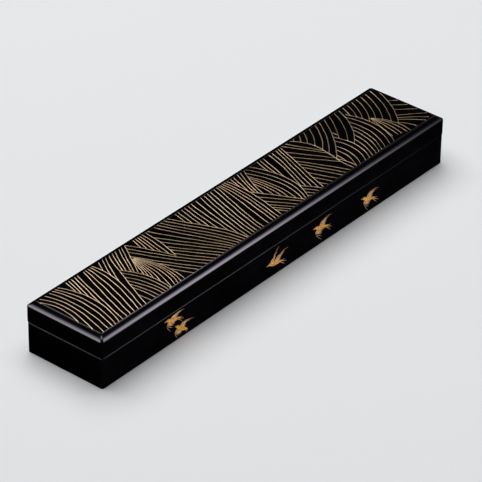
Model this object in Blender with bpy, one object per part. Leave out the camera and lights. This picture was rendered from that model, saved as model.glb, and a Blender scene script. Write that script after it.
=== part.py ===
"""Long black lacquer pen box in two pieces: a base with a standing rim, and a lift-off lid.

The box lies along X, its width is along Y, and it stands on z = 0 with the origin under its middle.
Each piece is one cross-section carried round a rectangle with rounded corners. A point of a section
is (inset, height, corner): how far it lies inside the piece's outer rectangle, how high it is, and
the radius of the rectangle's corners at that point.
"""

import bmesh
import bpy
from math import cos, pi, radians, sin

MM = 0.001

# Outside of the base
BASE_LENGTH = 240.0 * MM
BASE_WIDTH = 43.4 * MM
SHOULDER_HEIGHT = 15.6 * MM
FLOOR = 3.0 * MM
CORNER_RADIUS = 1.2 * MM
FOOT_ROUND = 0.3 * MM

# Joint between base and lid
SEAM_GAP = 0.3 * MM
SEAM_ROUND = 0.3 * MM
LID_OVERHANG = 0.15 * MM
RIM_CLEARANCE = 0.3 * MM
RIM_THICKNESS = 2.0 * MM
RIM_HEIGHT = 4.0 * MM
RIM_ROUND = 0.4 * MM

# Lid
LID_HEIGHT = 10.25 * MM
LID_WALL = 2.4 * MM
LID_TOP = 4.0 * MM
ARRIS_ROUND = 0.3 * MM
BORDER_WIDTH = 3.2 * MM
BORDER_STEEP = radians(42.0)
BORDER_SHALLOW = radians(7.0)
STEP_HEIGHT = 0.55 * MM
STEP_ROUND = 0.45 * MM
PANEL_CORNER = 0.5 * MM

# Insides
CAVITY_CORNER = 1.4 * MM
CAVITY_FILLET = 0.8 * MM

# Facets
CORNER_STEPS = 5
EDGE_STEPS = 4
BORDER_STEPS = 8
SHARP_ANGLE = radians(35.0)

# Worked out from the sizes above
LID_LENGTH = BASE_LENGTH + 2 * LID_OVERHANG
LID_WIDTH = BASE_WIDTH + 2 * LID_OVERHANG
LID_BOTTOM = SHOULDER_HEIGHT + SEAM_GAP
PANEL_HEIGHT = LID_BOTTOM + LID_HEIGHT
CEILING_HEIGHT = PANEL_HEIGHT - LID_TOP
RIM_FACE = LID_WALL - LID_OVERHANG + RIM_CLEARANCE
BASE_WALL = RIM_FACE + RIM_THICKNESS
RIM_TOP = SHOULDER_HEIGHT + RIM_HEIGHT

# Looks
BLACK = (0.004, 0.0035, 0.0045, 1.0)
ROUGHNESS = 0.12


def outer_corner(inset):
    """Corner radius that stays concentric with the outside, down to a crisp edge."""
    return max(CORNER_RADIUS - inset, 0.25 * CORNER_RADIUS)


def arc(centre, radius, start, end, steps, corner_at):
    """Points of a round edge in a section; angles run from the inward direction towards up."""
    points = []
    for step in range(steps + 1):
        angle = start + (end - start) * step / steps
        inset = centre[0] + radius * cos(angle)
        points.append((inset, centre[1] + radius * sin(angle), corner_at(inset)))
    return points


def cavity_corner(_inset):
    """Corner radius of both hollows."""
    return CAVITY_CORNER


def rim_corner(_inset):
    """Corner radius of the rim's outer face, which runs parallel to the lid's inner wall."""
    return CAVITY_CORNER - RIM_CLEARANCE


def base_section():
    """From the middle of the floor, up the inside, over the rim and shoulder, and down the outside."""
    section = arc((BASE_WALL + CAVITY_FILLET, FLOOR + CAVITY_FILLET), CAVITY_FILLET,
                  1.5 * pi, pi, EDGE_STEPS, cavity_corner)
    section += arc((BASE_WALL - RIM_ROUND, RIM_TOP - RIM_ROUND), RIM_ROUND,
                   0.0, 0.5 * pi, EDGE_STEPS, cavity_corner)
    section += arc((RIM_FACE + RIM_ROUND, RIM_TOP - RIM_ROUND), RIM_ROUND,
                   0.5 * pi, pi, EDGE_STEPS, rim_corner)
    section.append((RIM_FACE, SHOULDER_HEIGHT, rim_corner(RIM_FACE)))
    section += arc((SEAM_ROUND, SHOULDER_HEIGHT - SEAM_ROUND), SEAM_ROUND,
                   0.5 * pi, pi, EDGE_STEPS, outer_corner)
    section += arc((FOOT_ROUND, FOOT_ROUND), FOOT_ROUND, pi, 1.5 * pi, EDGE_STEPS, outer_corner)
    return section


def border_corner(inset):
    """Corner radius on the border: from the outside's at the lid's side to the panel's at the step."""
    share = min(inset / BORDER_WIDTH, 1.0)
    return CORNER_RADIUS + (PANEL_CORNER - CORNER_RADIUS) * share


def border_section():
    """Rounded border of the lid, from its side inwards: a small round, a long swell, and the step."""
    arris_reach = ARRIS_ROUND * (1 - sin(BORDER_STEEP))
    swell_radius = (BORDER_WIDTH - arris_reach) / (sin(BORDER_STEEP) - sin(BORDER_SHALLOW))
    swell_rise = swell_radius * (cos(BORDER_SHALLOW) - cos(BORDER_STEEP))
    swell_top = PANEL_HEIGHT - STEP_HEIGHT
    side_top = swell_top - swell_rise - ARRIS_ROUND * cos(BORDER_STEEP)
    arris = arc((ARRIS_ROUND, side_top), ARRIS_ROUND,
                pi, 0.5 * pi + BORDER_STEEP, EDGE_STEPS, border_corner)
    swell_centre = (BORDER_WIDTH + swell_radius * sin(BORDER_SHALLOW),
                    swell_top - swell_radius * cos(BORDER_SHALLOW))
    swell = arc(swell_centre, swell_radius,
                0.5 * pi + BORDER_STEEP, 0.5 * pi + BORDER_SHALLOW, BORDER_STEPS, border_corner)
    step = arc((BORDER_WIDTH + STEP_ROUND, PANEL_HEIGHT - STEP_ROUND), STEP_ROUND,
               pi, 0.5 * pi, EDGE_STEPS, border_corner)
    return arris + swell[1:] + step


def lid_section():
    """From the middle of the ceiling, down the inside, under the wall, up the outside to the panel."""
    section = arc((LID_WALL + CAVITY_FILLET, CEILING_HEIGHT - CAVITY_FILLET), CAVITY_FILLET,
                  0.5 * pi, pi, EDGE_STEPS, cavity_corner)
    section.append((LID_WALL, LID_BOTTOM, cavity_corner(LID_WALL)))
    section += arc((SEAM_ROUND, LID_BOTTOM + SEAM_ROUND), SEAM_ROUND,
                   1.5 * pi, pi, EDGE_STEPS, outer_corner)
    section += border_section()
    return section


def corner_points(length, width, inset, height, corner):
    """One closed loop round a rectangle with rounded corners, counter-clockwise from above."""
    reach_x = length / 2 - inset - corner
    reach_y = width / 2 - inset - corner
    points = []
    for quarter, (side_x, side_y) in enumerate([(1, 1), (-1, 1), (-1, -1), (1, -1)]):
        for step in range(CORNER_STEPS + 1):
            angle = 0.5 * pi * (quarter + step / CORNER_STEPS)
            x = side_x * reach_x + corner * cos(angle)
            y = side_y * reach_y + corner * sin(angle)
            points.append((x, y, height))
    return points


def carry_round(name, length, width, section, material):
    """Make one closed solid by carrying a section round the rectangle and capping both ends."""
    shape = bmesh.new()
    loops = []
    for inset, height, corner in section:
        points = corner_points(length, width, inset, height, corner)
        loops.append([shape.verts.new(point) for point in points])
    count = len(loops[0])
    for upper, lower in zip(loops, loops[1:]):
        for index in range(count):
            after = (index + 1) % count
            shape.faces.new((upper[index], upper[after], lower[after], lower[index]))
    shape.faces.new(loops[0])
    shape.faces.new(list(reversed(loops[-1])))
    bmesh.ops.recalc_face_normals(shape, faces=shape.faces)
    mesh = bpy.data.meshes.new(name)
    shape.to_mesh(mesh)
    shape.free()
    mesh.shade_smooth()
    mesh.set_sharp_from_angle(angle=SHARP_ANGLE)
    mesh.materials.append(material)
    piece = bpy.data.objects.new(name, mesh)
    bpy.context.scene.collection.objects.link(piece)
    return piece


def black_lacquer():
    """Polished black lacquer over a wooden core."""
    material = bpy.data.materials.new("black_lacquer")
    material.use_nodes = True
    shader = material.node_tree.nodes["Principled BSDF"]
    shader.inputs["Base Color"].default_value = BLACK
    shader.inputs["Roughness"].default_value = ROUGHNESS
    shader.inputs["Metallic"].default_value = 0.0
    return material


def clear_scene():
    """Remove whatever the scene holds before the model is made."""
    for thing in list(bpy.data.objects):
        bpy.data.objects.remove(thing, do_unlink=True)


def main():
    """Build the base and the lid where the lid rests on it."""
    clear_scene()
    lacquer = black_lacquer()
    carry_round("box_base", BASE_LENGTH, BASE_WIDTH, base_section(), lacquer)
    carry_round("lid", LID_LENGTH, LID_WIDTH, lid_section(), lacquer)


main()
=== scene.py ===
# %% [markdown]
# # A black lacquer pen box with gold waves
#
# The real object is a long wooden box under many polished coats of black lacquer. Its lift-off lid
# has a rounded border and a raised panel. A painter has drawn fine gold lines on the panel, in
# patches that overlap like waves, and small gold plovers on the near long side.
#
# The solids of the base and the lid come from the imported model, and they already have their final
# shape. This script gives them their finish, paints the gold as thin raised films, and sets up a
# floor, lights and a camera.

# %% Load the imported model
import random
from math import cos, hypot, pi, radians, sin, sqrt

import bmesh
import bpy
import numpy as np
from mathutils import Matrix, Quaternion, Vector


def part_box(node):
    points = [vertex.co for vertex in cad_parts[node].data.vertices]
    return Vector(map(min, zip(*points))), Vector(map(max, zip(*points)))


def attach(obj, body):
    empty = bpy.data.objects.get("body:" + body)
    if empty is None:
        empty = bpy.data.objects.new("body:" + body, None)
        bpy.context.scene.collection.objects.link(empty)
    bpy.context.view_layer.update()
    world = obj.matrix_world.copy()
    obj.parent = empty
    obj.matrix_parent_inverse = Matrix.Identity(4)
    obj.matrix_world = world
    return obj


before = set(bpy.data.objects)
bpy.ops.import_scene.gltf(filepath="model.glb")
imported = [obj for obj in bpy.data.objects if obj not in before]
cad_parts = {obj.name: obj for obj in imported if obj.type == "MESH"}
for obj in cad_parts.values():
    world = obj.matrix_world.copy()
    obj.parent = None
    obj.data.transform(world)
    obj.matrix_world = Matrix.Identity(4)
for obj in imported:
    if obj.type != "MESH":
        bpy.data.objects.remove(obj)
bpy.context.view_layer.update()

MM = 0.001
print("solids:", ", ".join(sorted(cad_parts)))

# %% [markdown]
# ## The camera
#
# The picture looks down on the box from beyond its left near corner with a long lens, so parallel
# edges stay almost parallel. The camera is made first, because every later choice is judged
# through it. Its place and direction are given as plain vectors: a look direction can be turned
# into a rotation with to_track_quat, and the small roll is one more turn about the line of sight.

# %% Camera
CAMERA_PLACE = Vector((-0.9374, -0.7681, 0.8096))
CAMERA_LOOK = Vector((0.64411, 0.52902, -0.55251))
CAMERA_ROLL = radians(0.73)
CAMERA_LENS = 240.48
SENSOR_WIDTH = 36.0
CLIP_START = 0.05

camera_data = bpy.data.cameras.new("camera")
camera_data.lens = CAMERA_LENS
camera_data.sensor_width = SENSOR_WIDTH
camera_data.clip_start = CLIP_START
camera = bpy.data.objects.new("camera", camera_data)
camera.location = CAMERA_PLACE
camera.rotation_mode = "QUATERNION"
camera.rotation_quaternion = CAMERA_LOOK.to_track_quat("-Z", "Y") @ Quaternion((0, 0, 1), CAMERA_ROLL)
bpy.context.scene.collection.objects.link(camera)
bpy.context.scene.camera = camera
bpy.context.scene.view_settings.view_transform = "Standard"
print("camera stands", round(CAMERA_PLACE.length, 2), "m from the box")

# %% [markdown]
# ## Floor and light
#
# Polished black shows little but reflections. Two soft boxes stand close by, left and right. Each
# is seen in one of the two near borders of the lid as a band that is bright at the lid's edge and
# fades inwards, so each box is bright in the middle and fades to its rim. They stand close because
# the right one's band must also fade along the lid: what a border mirrors shifts as one goes along
# it, and the nearer the lamp, the sooner it is out of sight.
#
# A gold line shines when it runs across the direction of a lamp, so two small lamps share the
# lines between them: a low one behind for those that lean to the right, and a weaker one above for
# those that fall to the right. All four light reflections only.
#
# A large lamp overhead lights the floor, and a low one in front lights the plovers on the upright
# side. Both are kept out of the reflections, and so is the floor: the flat panel and the sides
# then stay as deep a black as in the picture.

# %% Floor
FLOOR_HALF = 3.0
FLOOR_COLOUR = (0.80, 0.813, 0.83, 1.0)
FLOOR_ROUGHNESS = 0.9

floor_mesh = bpy.data.meshes.new("floor")
floor_corners = [(-FLOOR_HALF, -FLOOR_HALF, 0), (FLOOR_HALF, -FLOOR_HALF, 0),
                 (FLOOR_HALF, FLOOR_HALF, 0), (-FLOOR_HALF, FLOOR_HALF, 0)]
floor_mesh.from_pydata(floor_corners, [], [(0, 1, 2, 3)])
floor = bpy.data.objects.new("floor", floor_mesh)
bpy.context.scene.collection.objects.link(floor)
floor_paint = bpy.data.materials.new("floor_paint")
floor_paint.use_nodes = True
floor_shader = floor_paint.node_tree.nodes["Principled BSDF"]
floor_shader.inputs["Base Color"].default_value = FLOOR_COLOUR
floor_shader.inputs["Roughness"].default_value = FLOOR_ROUGHNESS
floor_shader.inputs["Specular IOR Level"].default_value = 0.0
floor_mesh.materials.append(floor_paint)
floor.visible_glossy = False
print("floor is", 2 * FLOOR_HALF, "m wide")


# %% A lamp by its place in the sky
def direction(azimuth, elevation):
    """Unit vector towards a place in the sky; azimuth runs from +X towards +Y, in degrees."""
    flat = cos(radians(elevation))
    return Vector((flat * cos(radians(azimuth)), flat * sin(radians(azimuth)), sin(radians(elevation))))


def lamp(name, sky_place, distance, size, power, colour):
    """An area lamp at an azimuth and elevation, facing the box; sizes in metres, power in watts."""
    data = bpy.data.lights.new(name, "AREA")
    data.shape = "RECTANGLE"
    data.size, data.size_y = size
    data.energy = power
    data.color = colour
    towards = direction(*sky_place)
    lamp_object = bpy.data.objects.new(name, data)
    lamp_object.location = towards * distance
    lamp_object.rotation_euler = (-towards).to_track_quat("-Z", "Y").to_euler()
    bpy.context.scene.collection.objects.link(lamp_object)
    return lamp_object


# %% [markdown]
# A lamp has a shader too, and it can dim the lamp from place to place. The Parametric output says
# where on the lamp's own sheet a point lies, from zero to one each way. A number below one is
# raised to the squared distance from the middle, so the light falls off in a bell curve.

# %% A lamp that fades to its rim
SHEET_MIDDLE = (0.5, 0.5, 0.0)
FADE_BASE = 1.0 / 2.718


def soften(lamp_object, reach):
    """Let a lamp fade from its middle to its rim; reach is the bright part as a share of its half."""
    data = lamp_object.data
    data.use_nodes = True
    tree = data.node_tree
    emission = tree.nodes["Emission"]
    geometry = tree.nodes.new("ShaderNodeNewGeometry")
    middle = tree.nodes.new("ShaderNodeVectorMath")
    middle.operation = "SUBTRACT"
    middle.inputs[1].default_value = SHEET_MIDDLE
    flat = tree.nodes.new("ShaderNodeVectorMath")
    flat.operation = "MULTIPLY"
    flat.inputs[1].default_value = (2.0 / reach, 2.0 / reach, 0.0)
    square = tree.nodes.new("ShaderNodeVectorMath")
    square.operation = "DOT_PRODUCT"
    fade = tree.nodes.new("ShaderNodeMath")
    fade.operation = "POWER"
    fade.inputs[0].default_value = FADE_BASE
    tree.links.new(geometry.outputs["Parametric"], middle.inputs[0])
    tree.links.new(middle.outputs["Vector"], flat.inputs[0])
    tree.links.new(flat.outputs["Vector"], square.inputs[0])
    tree.links.new(flat.outputs["Vector"], square.inputs[1])
    tree.links.new(square.outputs["Value"], fade.inputs[1])
    tree.links.new(fade.outputs["Value"], emission.inputs["Strength"])


# %% Six lamps in a dark room
VIOLET_WHITE = (0.93, 0.865, 1.0)
WARM_WHITE = (1.0, 0.92, 0.86)
NEUTRAL_WHITE = (1.0, 1.0, 1.0)
BRIGHT_REACH = 0.44

right_box = lamp("right_box", (-37.8, 47.5), 0.6, (0.47, 0.66), 7.9, VIOLET_WHITE)
left_box = lamp("left_box", (137.5, 43.2), 0.674, (0.7, 0.7), 9.5, VIOLET_WHITE)
for soft_box in (right_box, left_box):
    soften(soft_box, BRIGHT_REACH)
back_lamp = lamp("back_lamp", (112, 20), 0.6, (0.3, 0.3), 1.6, NEUTRAL_WHITE)
top_lamp = lamp("top_lamp", (55, 73), 0.9, (0.36, 0.36), 1.2, WARM_WHITE)
for gloss_lamp in (right_box, left_box, back_lamp, top_lamp):
    gloss_lamp.visible_diffuse = False
overhead = lamp("overhead", (70, 74), 2.2, (2.6, 2.6), 65, NEUTRAL_WHITE)
low_front = lamp("low_front", (-80, 5), 2.5, (0.35, 0.35), 38, NEUTRAL_WHITE)
low_front.data.use_shadow = False
for room_lamp in (overhead, low_front):
    room_lamp.visible_glossy = False

world = bpy.data.worlds.new("dark_room")
world.use_nodes = True
world.node_tree.nodes["Background"].inputs["Strength"].default_value = 0.0
bpy.context.scene.world = world

# %% [markdown]
# ## Black lacquer
#
# Real lacquer is a stack of thin coats, rubbed down between coats and polished at the end. It is
# almost black, here with a trace of violet, and its gloss isn't perfectly even: rubbing leaves very
# shallow waves and faint changes of sheen. Both come from noise textures, in the object's own
# space, so that nothing slides over the surface and no unwrapping is needed.

# %% A material and its noises
NOISE_LOW = 0.3
NOISE_HIGH = 0.7


def finish(name, metallic, roughness):
    """A new material with its shader's plain values set."""
    material = bpy.data.materials.new(name)
    material.use_nodes = True
    shader = material.node_tree.nodes["Principled BSDF"]
    shader.inputs["Metallic"].default_value = metallic
    shader.inputs["Roughness"].default_value = roughness
    return material


def noise(material, size, detail):
    """A noise texture whose blots are about as large as size, in metres."""
    tree = material.node_tree
    place = tree.nodes.new("ShaderNodeTexCoord")
    texture = tree.nodes.new("ShaderNodeTexNoise")
    texture.inputs["Scale"].default_value = 1.0 / size
    texture.inputs["Detail"].default_value = detail
    tree.links.new(place.outputs["Object"], texture.inputs["Vector"])
    return texture.outputs["Fac"]


def spread(material, source, low, high):
    """Stretch a noise, which stays near its middle, over a range of values."""
    tree = material.node_tree
    node = tree.nodes.new("ShaderNodeMapRange")
    node.inputs["From Min"].default_value = NOISE_LOW
    node.inputs["From Max"].default_value = NOISE_HIGH
    node.inputs["To Min"].default_value = low
    node.inputs["To Max"].default_value = high
    tree.links.new(source, node.inputs["Value"])
    return node.outputs["Result"]


# %% Noise as colour and as relief
ALL_DARK_BELOW = 0.35
ALL_LIGHT_ABOVE = 0.65


def blend_colours(material, source, dark, light):
    """Mix two colours by a noise and use the mix as the surface's colour."""
    tree = material.node_tree
    ramp = tree.nodes.new("ShaderNodeValToRGB")
    ramp.color_ramp.elements[0].position = ALL_DARK_BELOW
    ramp.color_ramp.elements[0].color = (*dark, 1.0)
    ramp.color_ramp.elements[1].position = ALL_LIGHT_ABOVE
    ramp.color_ramp.elements[1].color = (*light, 1.0)
    tree.links.new(source, ramp.inputs["Fac"])
    tree.links.new(ramp.outputs["Color"], tree.nodes["Principled BSDF"].inputs["Base Color"])


def relief(material, source, depth, strength):
    """Use a noise as a shallow bump; depth is in metres."""
    tree = material.node_tree
    bump = tree.nodes.new("ShaderNodeBump")
    bump.inputs["Distance"].default_value = depth
    bump.inputs["Strength"].default_value = strength
    tree.links.new(source, bump.inputs["Height"])
    tree.links.new(bump.outputs["Normal"], tree.nodes["Principled BSDF"].inputs["Normal"])


# %% [markdown]
# In the picture the highlight on the thin step along the panel's long side fades out to the right,
# and a light line follows the upper edge of the base's short side. Lacquer wears first on edges, so
# the step is painted as wear: it is made duller towards the right. That is a guess, because a picture
# can't tell wear from a reflection. The light line is a painted highlight: the edge's colour is a
# lighter grey, which stands in for a reflection of the lamps. Masks pick both places out: they
# compare the object's own coordinates with the place of the edge, and give one there and zero
# elsewhere. Both edges are measured in and down from the high corners of the solids' own boxes.


# %% Masks from coordinates
def calculate(material, operation, first, second):
    """One arithmetic node; each side is a socket or a plain number."""
    tree = material.node_tree
    node = tree.nodes.new("ShaderNodeMath")
    node.operation = operation
    for socket, value in zip(node.inputs, (first, second)):
        if isinstance(value, float):
            socket.default_value = value
        else:
            tree.links.new(value, socket)
    return node.outputs["Value"]


def near_to(material, source, middle, half):
    """One where a value lies within half of the middle, else zero."""
    away = calculate(material, "SUBTRACT", source, middle)
    return calculate(material, "LESS_THAN", calculate(material, "ABSOLUTE", away, 0.0), half)


def coordinates(material):
    """The object's own x, y and z, as the outputs of one node."""
    tree = material.node_tree
    place = tree.nodes.new("ShaderNodeTexCoord")
    parts = tree.nodes.new("ShaderNodeSeparateXYZ")
    tree.links.new(place.outputs["Object"], parts.inputs["Vector"])
    return parts


# %% Where the lacquer is worn, and where a highlight is painted
LID_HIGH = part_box("lid")[1]
BASE_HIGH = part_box("box_base")[1]
STEP_MIDDLE = LID_HIGH[1] - 3.43 * MM
STEP_HALF = 0.3 * MM
STEP_FOOT = LID_HIGH[2] - 0.95 * MM
POLISHED_UP_TO = -75 * MM
DULL_FROM = 45 * MM
ARRIS_END = BASE_HIGH[0] - 0.3 * MM
ARRIS_MIDDLE = BASE_HIGH[2] - 4.14 * MM
ARRIS_HALF = 0.16 * MM


def painted_highlight_edge(material):
    """Mask of the painted highlight: one on the upper edge of the base's short sides, under the lid,
    else zero.
    """
    parts = coordinates(material)
    along = calculate(material, "ABSOLUTE", parts.outputs["X"], 0.0)
    outer = calculate(material, "GREATER_THAN", along, ARRIS_END)
    return calculate(material, "MULTIPLY", outer,
                     near_to(material, parts.outputs["Z"], ARRIS_MIDDLE, ARRIS_HALF))


def worn_step(material):
    """Rises to one, from left to right, on the narrow step along the panel's long sides; else zero."""
    tree = material.node_tree
    parts = coordinates(material)
    across = calculate(material, "ABSOLUTE", parts.outputs["Y"], 0.0)
    near = near_to(material, across, STEP_MIDDLE, STEP_HALF)
    high = calculate(material, "GREATER_THAN", parts.outputs["Z"], STEP_FOOT)
    rightward = tree.nodes.new("ShaderNodeMapRange")
    rightward.inputs["From Min"].default_value = POLISHED_UP_TO
    rightward.inputs["From Max"].default_value = DULL_FROM
    tree.links.new(parts.outputs["X"], rightward.inputs["Value"])
    on_step = calculate(material, "MULTIPLY", near, high)
    return calculate(material, "MULTIPLY", on_step, rightward.outputs["Result"])


print("worn step:", round(STEP_MIDDLE / MM, 2), "mm out from the middle")
# The edge printed next carries a painted highlight, a lighter grey in place of a lamp's reflection.
print("worn edge:", round(ARRIS_MIDDLE / MM, 2), "mm up")

# %% Lacquer on both solids
LACQUER_DARK = (0.0012, 0.0010, 0.0014)
LACQUER_LIGHT = (0.0022, 0.0018, 0.0025)
# The grey below is a painted highlight on the base's short upper edges, standing in for a reflection.
PAINTED_HIGHLIGHT_GREY = (0.16, 0.15, 0.155)
SHEEN_BLOT = 14 * MM
SHEEN_LOW = 0.08
SHEEN_HIGH = 0.12
STEP_DULLNESS = 0.8
RUBBED_WAVE = 9 * MM
WAVE_DEPTH = 0.004 * MM
WAVE_STRENGTH = 0.3

lacquer = finish("polished_lacquer", metallic=0.0, roughness=0.10)
blend_colours(lacquer, noise(lacquer, SHEEN_BLOT, 2.0), LACQUER_DARK, LACQUER_LIGHT)
lacquer_shader = lacquer.node_tree.nodes["Principled BSDF"]
sheen = spread(lacquer, noise(lacquer, SHEEN_BLOT, 3.0), SHEEN_LOW, SHEEN_HIGH)
dullness = calculate(lacquer, "MULTIPLY", worn_step(lacquer), STEP_DULLNESS)
roughness = calculate(lacquer, "ADD", sheen, dullness)
lacquer.node_tree.links.new(roughness, lacquer_shader.inputs["Roughness"])
relief(lacquer, noise(lacquer, RUBBED_WAVE, 1.0), WAVE_DEPTH, WAVE_STRENGTH)

# Painted highlight: a lighter grey mixed into the lacquer's colour on the base's short upper edges.
edge_highlight = lacquer.node_tree.nodes.new("ShaderNodeMixRGB")
black = lacquer_shader.inputs["Base Color"].links[0].from_socket
lacquer.node_tree.links.new(painted_highlight_edge(lacquer), edge_highlight.inputs["Fac"])
lacquer.node_tree.links.new(black, edge_highlight.inputs["Color1"])
edge_highlight.inputs["Color2"].default_value = (*PAINTED_HIGHLIGHT_GREY, 1.0)
lacquer.node_tree.links.new(edge_highlight.outputs["Color"], lacquer_shader.inputs["Base Color"])

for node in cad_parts.values():
    for slot in node.material_slots:
        slot.material = lacquer
print("lacquered:", len(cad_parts), "solids")

# %% [markdown]
# ## Gold
#
# The lines are drawn in wet lacquer and dusted with gold powder. The powder lies a little proud of
# the panel and is grainy, so the gold glows softly and doesn't mirror. It is a metal, so a line
# shines most where it runs across the direction of the light. The plovers are laid on thicker, in
# a redder gold with more lacquer in it, and they look more like a satin paint.

# %% Golds
SHADE_BLOT = 0.9 * MM
DULL_GRAIN = 0.12 * MM
SMOOTHER = 0.08
ROUGHER = 0.1
POWDER_GRAIN = 0.09 * MM
POWDER_DEPTH = 0.012 * MM
POWDER_STRENGTH = 0.5


def powder_gold(name, dark, light, metallic, roughness):
    """Gold powder: two shades in fine grains, and a grainy relief."""
    material = finish(name, metallic, roughness)
    blend_colours(material, noise(material, SHADE_BLOT, 4.0), dark, light)
    shader = material.node_tree.nodes["Principled BSDF"]
    grain = spread(material, noise(material, DULL_GRAIN, 2.0), roughness - SMOOTHER, roughness + ROUGHER)
    material.node_tree.links.new(grain, shader.inputs["Roughness"])
    relief(material, noise(material, POWDER_GRAIN, 2.0), POWDER_DEPTH, POWDER_STRENGTH)
    return material


line_gold = powder_gold("line_gold", (0.78, 0.55, 0.29), (1.0, 0.85, 0.55), 0.9, 0.36)
body_gold = powder_gold("body_gold", (0.44, 0.17, 0.02), (0.98, 0.52, 0.12), 0.2, 0.45)
feather_gold = powder_gold("feather_gold", (0.33, 0.16, 0.06), (0.86, 0.53, 0.26), 0.2, 0.45)
print("golds:", line_gold.name, body_gold.name, feather_gold.name)

# %% [markdown]
# ## A brush stroke as a solid
#
# Every gold mark is a brush stroke: a path, a width at each point of it, and a thin film of metal.
# A flat ribbon would have no side to catch the light, so each stroke is a closed solid with a
# rounded back, sunk a hair into the lacquer. The function that makes it doesn't know where it
# paints. It is given a place function, which turns a point of the drawing and a lift off the
# surface into a point in space, and so it serves the panel and the side alike.

# %% Stroke
STROKE_SECTION = ((-1.0, -0.4), (-0.74, 0.5), (0.0, 1.0), (0.74, 0.5), (1.0, -0.4))


def stroke(shape, path, widths, place, film):
    """Add a closed stroke to a bmesh: rounded across, film thick in the middle."""
    rows = []
    last = len(path) - 1
    for index, (u, v) in enumerate(path):
        before = path[max(index - 1, 0)]
        after = path[min(index + 1, last)]
        run = (after[0] - before[0], after[1] - before[1])
        length = hypot(*run)
        half = 0.5 * widths[index] / length
        row = []
        for reach, lift in STROKE_SECTION:
            point = place(u - run[1] * half * reach, v + run[0] * half * reach, lift * film)
            row.append(shape.verts.new(point))
        rows.append(row)
    count = len(STROKE_SECTION)
    for row, following in zip(rows, rows[1:]):
        for index in range(count):
            after = (index + 1) % count
            shape.faces.new((row[index], row[after], following[after], following[index]))
    shape.faces.new(rows[0])
    shape.faces.new(list(reversed(rows[-1])))


def gold_piece(name, shape, material):
    """Turn a bmesh of strokes into a piece that rides with the box."""
    bmesh.ops.recalc_face_normals(shape, faces=shape.faces)
    mesh = bpy.data.meshes.new(name)
    shape.to_mesh(mesh)
    shape.free()
    mesh.shade_smooth()
    mesh.materials.append(material)
    piece = bpy.data.objects.new(name, mesh)
    bpy.context.scene.collection.objects.link(piece)
    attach(piece, "root")
    return piece


# %% [markdown]
# ## The waves on the panel
#
# The drawing is made of patches. In each patch the lines run side by side and change shape slowly
# from the first to the last, so a patch needs only a few key lines: the lines between two keys are
# blends of them. A key line is a curve through four points, in millimetres on the panel. Where
# patches meet, one lies over the other and the lower one's lines stop at its edge. Each patch is
# drawn over all that follow it in the list, and each line keeps only the stretch that no earlier
# patch covers.

# %% Curves and blends
KEY_POINTS = 4


def on_curve(points, share):
    """Point at a share from 0 to 1 of the smooth curve through four points."""
    place = share * (KEY_POINTS - 1)
    u = v = 0.0
    for index, (x, y) in enumerate(points):
        weight = 1.0
        for other in range(KEY_POINTS):
            if other != index:
                weight *= (place - other) / (index - other)
        u += weight * x
        v += weight * y
    return u, v


def mix(first, second, share):
    """Point at a share of the way from one point to another."""
    return (first[0] + (second[0] - first[0]) * share, first[1] + (second[1] - first[1]) * share)


def blended(keys, number):
    """The four points of line number, between the key lines on either side of it."""
    lower = max(key for key in keys if key <= number)
    upper = min(key for key in keys if key >= number)
    share = (number - lower) / (upper - lower) if upper > lower else 0.0
    return [mix(first, second, share) for first, second in zip(keys[lower], keys[upper])]


# %% [markdown]
# Two helpers describe a key line in a few numbers. A level line runs across the whole panel and is
# given by its x at four even steps. A bow is given by its two ends and by how far it swells to one
# side. A patch is a name and its key lines by number. In three patches the lines run only between
# two border lines, which are drawn as well.

# %% Two kinds of key line
LEVEL_STEPS = (18.5, 6.2, -6.2, -18.5)


def level(*across):
    """A key line that runs the whole width of the panel, by its x at four even steps in y."""
    return list(zip(across, LEVEL_STEPS))


def bow(start, end, swell):
    """A key line between two points that swells, at its middle, to the left of its way."""
    run = (end[0] - start[0], end[1] - start[1])
    length = hypot(*run)
    points = []
    for index in range(KEY_POINTS):
        share = index / (KEY_POINTS - 1)
        aside = 4 * swell * share * (1 - share) / length
        points.append((start[0] + run[0] * share - run[1] * aside,
                       start[1] + run[1] * share + run[0] * aside))
    return points


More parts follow.
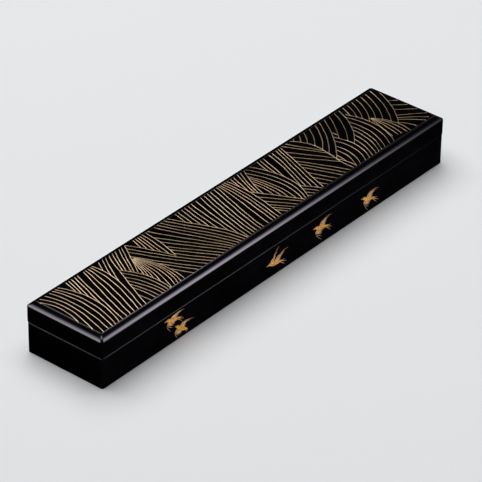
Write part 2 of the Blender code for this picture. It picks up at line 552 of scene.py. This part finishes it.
# %% The patches, uppermost first
PATCHES = [
    ("left_fan", {0: level(-118, -114.4, -117, -121.5), 3: level(-109, -107.7, -109, -112.1),
                  6: level(-103.6, -100.1, -100.9, -105.4)}),
    ("long_slope", {0: level(-98.4, -102.5, -108, -113), 4: level(-91.2, -95.2, -99.1, -102.9),
                    5: level(-87.3, -91.8, -96.3, -100.2), 7: level(-84.4, -86.8, -90.7, -95.5),
                    9: level(-81.7, -81.7, -85.4, -90.6)}),
    ("low_fan", {0: bow((-93, 7.3), (-84.4, -18.5), 2.3), 1: bow((-89.3, 7.3), (-81.6, -18.5), 2.8),
                 3: bow((-84.3, 7.3), (-76.8, -18.5), 2.1), 5: bow((-78.7, 7.3), (-73.5, -18.5), 2.7)}),
    ("high_slope", {0: bow((-77.3, 18.5), (-85, 5), -0.3), 2: bow((-72.9, 18.5), (-82.3, 2.3), -0.25),
                    3: bow((-70.5, 18.5), (-76.3, 7.5), -0.3), 8: bow((-60.2, 18.5), (-72, 0), 0)}),
    ("sheaf", {0: bow((-66.5, 9), (-82, -18.5), 1.4), 4: bow((-65.6, 8.3), (-71.4, -18.5), 2.0),
               6: bow((-65.3, 8.3), (-67, -18.5), 3.1), 8: bow((-65.3, 9.5), (-62.6, -18.5), 2.9)}),
    ("wedge", {0: bow((-54.8, 18.5), (-61, -2), 0), 4: bow((-48.7, 18.5), (-53.2, -3.5), 0.5)}),
    ("broad_fall", {0: level(-71, -67, -62, -56.5), 2: level(-67.5, -63, -57, -50.5),
                    4: level(-62.8, -57.2, -51.3, -44), 7: level(-56, -50.2, -43, -36),
                    9: level(-49.6, -43.7, -37.2, -31), 11: level(-41.1, -36.8, -31.8, -27.5),
                    15: level(-31.7, -26.7, -21.8, -19.9)}),
    ("middle_slope", {0: level(-26.6, -29.5, -32.5, -35.5), 5: level(-15.5, -18.3, -20.6, -23.7),
                      7: level(-8.9, -13, -16.4, -19.1), 12: level(2.3, -1.6, -5.6, -8.7),
                      14: level(4.5, 3.5, 0.9, -2), 17: level(9, 9.3, 7.2, 4.2)}),
    ("low_fall", {0: bow((9.3, 4.5), (21, -18.5), 0.2), 1: bow((7.3, 0.8), (19.1, -18.5), 0.1),
                  3: bow((5.5, -6.5), (13.1, -18.5), 0), 5: bow((2.5, -8.5), (8.4, -18.5), 0)}),
    ("short_slope", {0: bow((11.8, 18.5), (7, 2), 0), 4: bow((21.6, 18.5), (12, -1.5), -0.9)}),
    ("tall_fan", {0: level(13.3, 15.7, 14.3, 9), 3: level(16.9, 20.3, 20.8, 17.5),
                  4: level(19, 23.2, 23.8, 19.5), 6: level(25.4, 28.9, 28.7, 23)}),
    ("small_fall", {0: bow((28, -9), (33.5, -18.7), 0.3), 3: bow((21, -11.5), (25.5, -18.7), 0)}),
    ("second_slope", {0: level(30.8, 27.5, 24.5, 21), 2: level(35, 31.2, 27, 23),
                      3: level(38.9, 35.3, 29.9, 25), 5: level(44.3, 39.4, 34.2, 29.4),
                      7: level(47.4, 43.3, 38.5, 34.2)}),
    ("second_fall", {0: level(51.3, 56.6, 62, 67), 1: level(48.6, 54.5, 60.5, 66),
                     3: level(38.5, 46.1, 53.7, 61.2), 4: level(37, 42.8, 48.6, 53.9),
                     6: level(33, 38.3, 43.2, 48), 9: level(24, 28.5, 33, 37.7)}),
    ("thin_strip", {0: bow((55.5, -7.5), (55.5, -18.5), 0), 1: bow((57, -7.5), (58.2, -18.5), 0.8)}),
    ("wide_arcs", {0: bow((57.5, 18.5), (53, 14.5), 0), 4: bow((73.4, 18.5), (57, 1), 1.5),
                   6: bow((80.2, 18.5), (57, -7.5), 1.6)}),
    ("second_fan", {0: bow((53.5, 5), (51.5, -18.5), 3.9), 5: bow((70.8, 5), (67.5, -18.5), 3.3)}),
    ("further_arcs", {0: bow((84, 18.5), (66, -2.5), 1.15), 2: bow((91, 18.5), (71.5, -6.3), 2.6)}),
    ("third_fan", {0: bow((72, 13.5), (67.8, -18.5), 3.5), 5: bow((84.5, 13.5), (79.2, -18.5), 4.5),
                   7: bow((90.2, 13.5), (86.2, -18.5), 4.4)}),
    ("end_fan", {0: bow((95.2, 2.5), (89.5, -15), 0), 4: bow((95.4, 2.5), (99, -18.5), 2.7)}),
    ("end_arcs", {0: bow((94, 18.5), (84, 1.5), 1.1), 2: bow((100.7, 18.5), (87.5, 1.5), 1.9),
                  7: bow((118, 18.5), (101.5, -9), 2.15)}),
    ("end_fall", {0: bow((111.5, 8.5), (119, 0), 0), 2: bow((108.3, -0.8), (117.5, -10.2), 0.3),
                  3: bow((105.2, -4.8), (117.8, -15.6), 0.2), 5: bow((102.5, -7.5), (111.5, -18.6), 0.3),
                  6: bow((100.8, -9), (104.4, -18.6), 0.4)}),
]

BORDER_LINES = {
    "low_fan": (bow((-76.3, 7.3), (-88, -18.5), -0.2), bow((-76.3, 7.3), (-71.9, -18.5), 2.85)),
    "wedge": (bow((-60, 18.5), (-51.3, -3.9), 0.5), bow((-46.6, 18.5), (-51.3, -3.5), 0.75)),
    "second_fall": (level(45, 41, 36, 32), level(54.3, 59.2, 57.3, 56.3)),
}
print("patches:", len(PATCHES), "of which", len(BORDER_LINES), "have border lines")

# %% [markdown]
# To know what covers a line, each patch is also an outline: down its first line and back up its
# last, or down one border line and back up the other. Whether a point lies inside an outline is
# settled by counting how many of the outline's edges a ray from the point crosses. An odd number
# means inside. Numpy does this for all points of a line at once.

# %% What covers a point
OUTLINE_STEPS = 14
NEVER_ZERO = 1e-9


def outline(first, last):
    """Closed outline between two curves, as an array of points."""
    shares = [step / OUTLINE_STEPS for step in range(OUTLINE_STEPS + 1)]
    there = [on_curve(first, share) for share in shares]
    back = [on_curve(last, share) for share in reversed(shares)]
    return np.array(there + back)


def inside(points, ring):
    """For each point, whether it lies inside a closed outline."""
    x, y = points[:, 0:1], points[:, 1:2]
    start, end = ring, np.roll(ring, -1, axis=0)
    crosses = (start[:, 1] > y) != (end[:, 1] > y)
    rise = np.where(end[:, 1] == start[:, 1], NEVER_ZERO, end[:, 1] - start[:, 1])
    where = start[:, 0] + (y - start[:, 1]) * (end[:, 0] - start[:, 0]) / rise
    return np.count_nonzero(crosses & (x < where), axis=1) % 2 == 1


# %% Which stretch of a line shows
LINE_SAMPLES = 260
FLAT_INSET = 3.65
FLAT_HALF_X = LID_HIGH[0] / MM - FLAT_INSET
FLAT_HALF_Y = LID_HIGH[1] / MM - FLAT_INSET


def longest_run(shown):
    """First and last index of the longest unbroken stretch of true values."""
    best = (0, -1)
    begin = None
    for index, value in enumerate(list(shown) + [False]):
        if value and begin is None:
            begin = index
        if not value and begin is not None:
            if index - begin > best[1] - best[0] + 1:
                best = (begin, index - 1)
            begin = None
    return best


def shown_stretch(points, own, covers, reach):
    """The samples of a line that lie on the panel, in its own patch and under no other."""
    samples = np.array([on_curve(points, index / LINE_SAMPLES) for index in range(LINE_SAMPLES + 1)])
    shown = np.abs(samples[:, 0]) < FLAT_HALF_X + reach
    shown &= np.abs(samples[:, 1]) < FLAT_HALF_Y + reach
    if own is not None:
        shown &= inside(samples, own)
    for cover in covers:
        shown &= ~inside(samples, cover)
    begin, end = longest_run(shown)
    return samples[begin:end + 1]


print("flat part of the panel:", round(2 * FLAT_HALF_X, 2), "x", round(2 * FLAT_HALF_Y, 2), "mm")

# %% [markdown]
# A hand isn't a machine: the gaps vary, each line wavers a little, and a brush lifts at the end of
# a line. Lines grow finer towards the right. Some patches are drawn with a lighter brush, and one
# with a heavier brush. Where a line runs out over the panel's rim, most of all at the left, the
# gold is drawn down the rounded step and pools there. The random numbers are seeded, so the drawing
# is the same each time. Sizes in the drawing are in millimetres, and those times MM are in metres.

# %% From the drawing to the panel
STEP_ROUND = 0.45
PANEL_TOP = LID_HIGH[2]


def beyond_flat(x, y):
    """How far a point lies outside the panel's flat part; negative inside it."""
    return max(abs(x) - FLAT_HALF_X, abs(y) - FLAT_HALF_Y)


def on_panel(x, y, lift):
    """Point above the panel, or above the rounded edge just outside it."""
    beyond = min(max(beyond_flat(x, y), 0.0), STEP_ROUND)
    drop = STEP_ROUND - sqrt(STEP_ROUND ** 2 - beyond ** 2)
    return x * MM, y * MM, PANEL_TOP - drop * MM + lift


# %% One line by hand
LINE_WIDTH = 0.31
FINER_RIGHT = 0.06
LIGHTEST = 0.88
HEAVIEST = 1.12
LINE_FILM = 0.10 * MM
LINE_STEP = 0.7
FEWEST_STEPS = 3
WAVER = 0.07
WAVER_PACE = 0.55
THICKENING = 0.08
THICKENING_PACE = 0.9
TAPER_LENGTH = 0.9
END_WIDTH = 0.6
POOL_WIDTH = 1.1
AT_RIM = -0.1
SEED = 11
hand = random.Random(SEED)


def end_fullness(point, away):
    """Share of the full width at a distance from a line's end: pooled at the rim, else lifted."""
    share = min(away / TAPER_LENGTH, 1.0)
    width = POOL_WIDTH if beyond_flat(*point) > AT_RIM else END_WIDTH
    return width + (1 - width) * share


def draw_line(shape, samples, brush):
    """One brush line along the samples, with a wavering path and its two ends."""
    steps = np.hypot(*np.diff(samples, axis=0).T)
    along = np.concatenate([[0.0], np.cumsum(steps)])
    length = along[-1]
    count = max(int(length / LINE_STEP), FEWEST_STEPS)
    phase = hand.uniform(0, 2 * pi)
    rightness = samples[len(samples) // 2][0] / FLAT_HALF_X
    weight = brush * (LINE_WIDTH - FINER_RIGHT * rightness) * hand.uniform(LIGHTEST, HEAVIEST)
    path, widths = [], []
    for index in range(count + 1):
        at = length * index / count
        x = float(np.interp(at, along, samples[:, 0]))
        y = float(np.interp(at, along, samples[:, 1]))
        path.append((x + WAVER * sin(WAVER_PACE * at + phase), y))
        ends = end_fullness(samples[0], at) * end_fullness(samples[-1], length - at)
        pressure = 1 + THICKENING * sin(THICKENING_PACE * at + 2 * phase)
        widths.append(weight * ends * pressure)
    stroke(shape, path, widths, on_panel, LINE_FILM)


# %% Draw the waves
SHORTEST_LINE = 1.4
GAP_UNEVEN = 0.12
RIM_REACH = 0.4
RIM_UNEVEN = 0.12
BRUSH_WEIGHT = {"long_slope": 0.93, "low_fan": 0.83, "sheaf": 0.68, "wedge": 0.74, "middle_slope": 0.75,
                "tall_fan": 0.7, "second_slope": 0.7, "wide_arcs": 1.55, "second_fan": 0.77,
                "third_fan": 0.68, "end_fan": 0.65}

covers = []
line_count = 0
for patch_name, keys in PATCHES:
    patch_shape = bmesh.new()
    last_line = max(keys)
    borders = BORDER_LINES.get(patch_name)
    own = outline(*borders) if borders else None
    drawn = []
    for number in range(last_line + 1):
        place = number if number in keys else number + hand.uniform(-GAP_UNEVEN, GAP_UNEVEN)
        drawn.append((blended(keys, place), own))
    if borders:
        drawn += [(points, None) for points in borders]
    for points, limit in drawn:
        leftness = min(max(-points[-1][0] / FLAT_HALF_X, 0.0), 1.0)
        reach = RIM_REACH * leftness + hand.uniform(-RIM_UNEVEN, 0.5 * RIM_UNEVEN)
        samples = shown_stretch(points, limit, covers, reach)
        if len(samples) > 1 and hypot(*(samples[-1] - samples[0])) > SHORTEST_LINE:
            draw_line(patch_shape, samples, BRUSH_WEIGHT.get(patch_name, 1.0))
            line_count += 1
    gold_piece("waves_" + patch_name, patch_shape, line_gold)
    covers.append(outline(keys[0], keys[last_line]) if own is None else own)
print("gold lines:", line_count)

# %% [markdown]
# ## The plovers
#
# Five small plovers fly to the left along the near side, two of them together. Each is painted
# with loaded strokes: a full one for the body, short ones for head and beak, and thin ones for the
# tail. A wing has a bend like a real one: an arm stroke from shoulder to wrist, a row of feathers
# laid back from the arm, and longer ones fanned out from the wrist to the tip. A bird is drawn lying
# along a line of its own and then scaled, turned and moved to its place, so one function paints all
# five. They differ in place, slope of flight, size, length of tail and pose of the wings.

# %% Strokes of a bird
SIDE_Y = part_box("box_base")[0][1]
FEATHER_FILM = 0.07 * MM
THIN_END = 0.14


def on_side(x, z, lift):
    """Point on the near long side of the base."""
    return x * MM, SIDE_Y - lift, z * MM


def dab(shape, turn, start, end, width, fullest, swell=0.0, film=FEATHER_FILM, steps=9):
    """A loaded stroke: thin at both ends, widest at the fullest share, bent aside by swell."""
    run = (end[0] - start[0], end[1] - start[1])
    path, widths = [], []
    for step in range(steps + 1):
        share = step / steps
        aside = 4 * swell * share * (1 - share)
        path.append(turn((start[0] + run[0] * share - run[1] * aside,
                          start[1] + run[1] * share + run[0] * aside)))
        bulge = share / fullest if share < fullest else (1 - share) / (1 - fullest)
        widths.append(width * (THIN_END + (1 - THIN_END) * sin(0.5 * pi * bulge)))
    stroke(shape, path, widths, on_side, film)


# %% A bent wing
FEATHERS = 6
FEATHER_WIDTH = 0.7
FEATHER_NARROWS = 0.15
LONG_FEATHERS = 4
LONG_WIDTH = 0.55
LONG_NARROWS = 0.3
SET_BACK = 0.35
TIP_CROWDING = 1.8
FIRST_FEATHER = 0.4
ARM_WIDTH = 0.8
BEND = 0.05


def wing(shape, turn, root, wrist, back, tip):
    """A bent wing: short feathers behind the arm, long ones fanned out to the tip, and the arm."""
    shoulder, heel = root
    for number in range(FEATHERS):
        share = (number + FIRST_FEATHER) / FEATHERS
        start = mix(shoulder, wrist, share)
        end = mix(heel, back, share)
        width = FEATHER_WIDTH - FEATHER_NARROWS * share
        dab(shape, turn, start, end, width, fullest=0.35, swell=BEND)
    bend = BEND if wrist[1] > 0 else -BEND
    for number in range(LONG_FEATHERS):
        share = (number + FIRST_FEATHER) / (LONG_FEATHERS - 1 + FIRST_FEATHER)
        start = mix(wrist, mix(shoulder, heel, 0.5), SET_BACK * (1 - share))
        end = mix(back, tip, share ** TIP_CROWDING)
        width = LONG_WIDTH - LONG_NARROWS * share
        dab(shape, turn, start, end, width, fullest=0.3, swell=bend * share, steps=12)
    dab(shape, turn, shoulder, wrist, ARM_WIDTH, fullest=0.5, swell=2 * bend)


# %% A whole plover
TAIL_ROOT = (2.4, -0.1)
TAIL_ENDS = ((7.6, -2.7), (8.6, -1.3), (7.0, 0.1))
TAIL_WIDTH = 0.36
BODY = ((-4.9, 0.1), (5.0, 0.0))
BODY_WIDTH = 2.5
HEAD = ((-5.3, 0.15), (-2.4, 0.25))
HEAD_WIDTH = 1.7
BEAK = ((-6.4, -0.2), (-4.6, 0.15))
BEAK_WIDTH = 0.5
BODY_FILM = 0.12 * MM


def plover(name, place, slope, size, tail, wings):
    """One flying plover, heading along -X; tail is a share of a full-length one.

    Each wing is given by its root, wrist, back and tip.
    """
    lean = radians(slope)

    def turn(point):
        u, v = point[0] * size, point[1] * size
        return place[0] + u * cos(lean) - v * sin(lean), place[1] + u * sin(lean) + v * cos(lean)

    feathers = bmesh.new()
    for pose in wings:
        wing(feathers, turn, *pose)
    for end in TAIL_ENDS:
        dab(feathers, turn, TAIL_ROOT, mix(TAIL_ROOT, end, tail), TAIL_WIDTH, fullest=0.3)
    gold_piece(name + "_feathers", feathers, feather_gold)
    body = bmesh.new()
    dab(body, turn, *BODY, BODY_WIDTH, fullest=0.4, swell=-0.03, film=BODY_FILM, steps=16)
    dab(body, turn, *HEAD, HEAD_WIDTH, fullest=0.5, film=BODY_FILM)
    dab(body, turn, *BEAK, BEAK_WIDTH, fullest=0.75, film=BODY_FILM)
    gold_piece(name + "_body", body, body_gold)


# %% Five plovers
NEAR_ROOT = ((-2.6, -0.3), (1.8, -0.4))
FAR_ROOT = ((-1.9, 0.3), (2.2, 0.3))
PLOVERS = [
    ((-73.9, 12.2), -14, 0.94, 0.9, [(FAR_ROOT, (0.0, 2.2), (3.2, 2.6), (7.2, 3.7)),
                                     (NEAR_ROOT, (-4.0, -3.2), (1.3, -2.3), (-0.6, -5.9))]),
    ((-68.3, 4.8), -33, 0.88, 0.6, [(FAR_ROOT, (-0.8, 3.2), (1.6, 3.2), (7.2, 6.0)),
                                    (NEAR_ROOT, (-4.1, -3.6), (0.8, -2.6), (-0.6, -5.4))]),
    ((-4.1, 6.1), -10, 0.98, 1.0, [(((-0.6, 0.8), (2.6, 0.4)), (2.3, 3.5), (3.9, 2.7), (8.0, 5.8)),
                                   (((-3.7, 0.5), (-1.2, 0.7)), (-2.2, 2.9), (-0.9, 2.6), (1.0, 8.2))]),
    ((28.9, 8.9), -15, 1.0, 1.0, [(FAR_ROOT, (0.3, 3.6), (2.4, 3.0), (5.7, 5.4)),
                                  (NEAR_ROOT, (-3.8, -3.0), (0.7, -2.9), (2.2, -6.6))]),
    ((63.7, 7.4), -20, 0.98, 1.0, [(FAR_ROOT, (0.5, 3.7), (2.5, 2.9), (6.3, 4.8)),
                                   (NEAR_ROOT, (-2.9, -2.7), (1.7, -2.5), (2.0, -6.3))]),
]
for number, (place, slope, size, tail, wings) in enumerate(PLOVERS, start=1):
    plover(f"plover_{number}", place, slope, size, tail, wings)
print("plovers:", len(PLOVERS))
